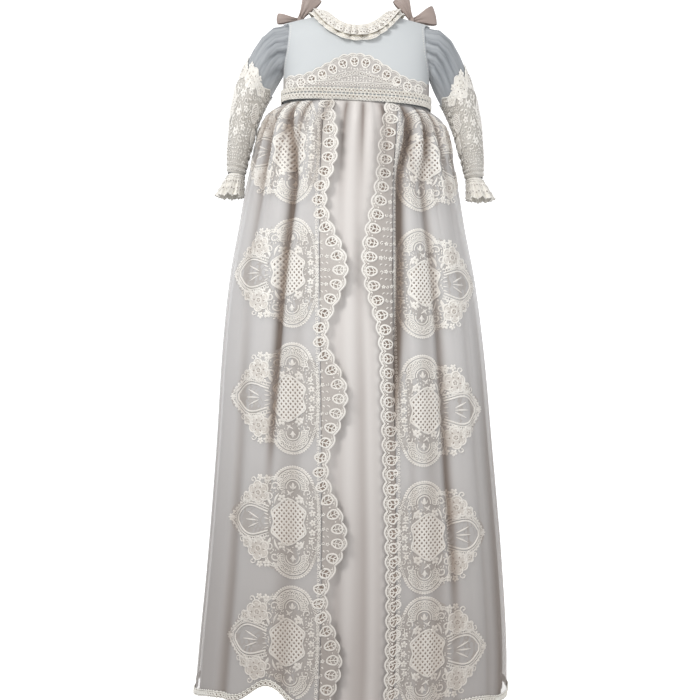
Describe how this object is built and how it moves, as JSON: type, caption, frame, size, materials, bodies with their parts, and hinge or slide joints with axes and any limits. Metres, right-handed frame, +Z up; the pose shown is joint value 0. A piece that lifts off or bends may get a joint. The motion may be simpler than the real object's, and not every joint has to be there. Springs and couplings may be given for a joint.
{
  "type": "christening gown",
  "caption": "Long hollow christening gown with an open lace overskirt, gathered neck frill, long lace sleeves and shoulder bows.",
  "frame": {"origin": "on the line of the shoulders, in the middle of the neck opening", "axes": "+Z up the gown towards the neck, -Y out of its front, +X to the right as the front is seen"},
  "size_m": [0.4568, 0.2661, 1.0232],
  "materials": {
    "bodice_weave": "matt",
    "satin": "soft sheen",
    "tulle": "sheer",
    "lace": "matt",
    "braid": "matt",
    "ribbon": "soft sheen",
    "button": "pearl"
  },
  "bodies": {
    "root": {"underskirt_front": "satin", "underskirt_back": "satin", "overskirt_left": "tulle", "overskirt_right": "tulle", "overskirt_back": "tulle", "border_left": "lace", "border_right": "lace", "medallion_left_1": "lace", "medallion_left_2": "lace", "medallion_left_3": "lace", "medallion_left_4": "lace", "medallion_left_5": "lace", "medallion_right_1": "lace", "medallion_right_2": "lace", "medallion_right_3": "lace", "medallion_right_4": "lace", "medallion_right_5": "lace", "hem_braid": "braid", "bodice_front": "bodice_weave", "bodice_back_right": "bodice_weave", "bodice_back_left": "bodice_weave", "back_button_1": "button", "back_button_2": "button", "back_button_3": "button", "back_button_4": "button", "yoke_lace": "lace", "waist_trim_upper": "braid", "waist_trim_lower": "braid", "sleeve_left": "tulle", "sleeve_lace_left": "lace", "cuff_left": "lace", "sleeve_right": "tulle", "sleeve_lace_right": "lace", "cuff_right": "lace", "neck_frill": "lace", "bow_left_inner": "ribbon", "bow_left_outer": "ribbon", "bow_left_knot": "ribbon", "bow_right_inner": "ribbon", "bow_right_outer": "ribbon", "bow_right_knot": "ribbon"}
  },
  "joints": []
}
